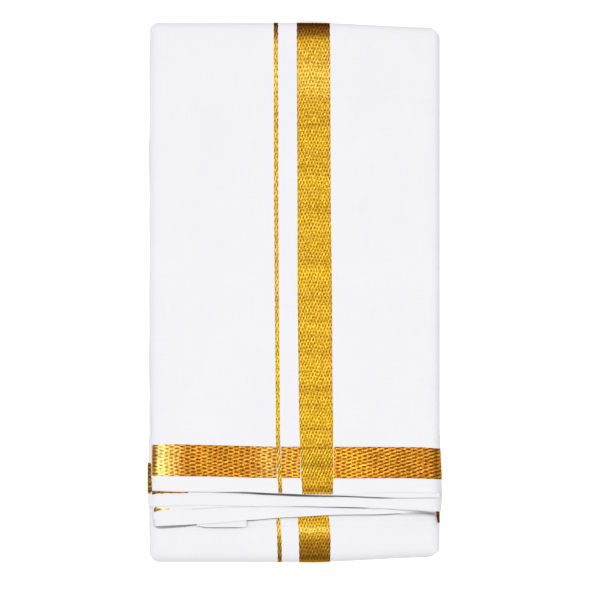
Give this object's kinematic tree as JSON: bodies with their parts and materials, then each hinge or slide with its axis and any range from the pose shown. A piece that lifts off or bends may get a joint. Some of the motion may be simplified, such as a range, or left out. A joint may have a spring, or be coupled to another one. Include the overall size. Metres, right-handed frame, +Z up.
{
  "type": "folded dhoti cloth",
  "caption": "Long white cotton wrap cloth with woven gold end band and selvedge border, folded into a flat oblong pack and lying on its back.",
  "frame": {"origin": "under the middle of the folded pack, on the surface that it rests on", "axes": "+X towards the pack's right side, +Y towards its top fold, +Z up"},
  "size_m": [0.2324, 0.4264, 0.026],
  "materials": {
    "cotton": "plain-woven white cotton, soft and matt",
    "zari": "gold zari thread woven into the cotton, with a metallic sheen"
  },
  "bodies": {
    "root": {"hidden_layers": "cotton", "flap_cloth": "cotton", "back_cloth": "cotton", "lower_cloth": "cotton", "second_layers": "cotton", "third_layers": "cotton", "inner_end": "cotton", "end_band_flap": "zari", "end_band_back": "zari", "end_band_lower": "zari", "end_line_flap": "zari", "end_line_back": "zari", "end_line_lower": "zari", "border_left": "zari", "border_middle": "zari", "border_right": "zari"}
  },
  "joints": []
}
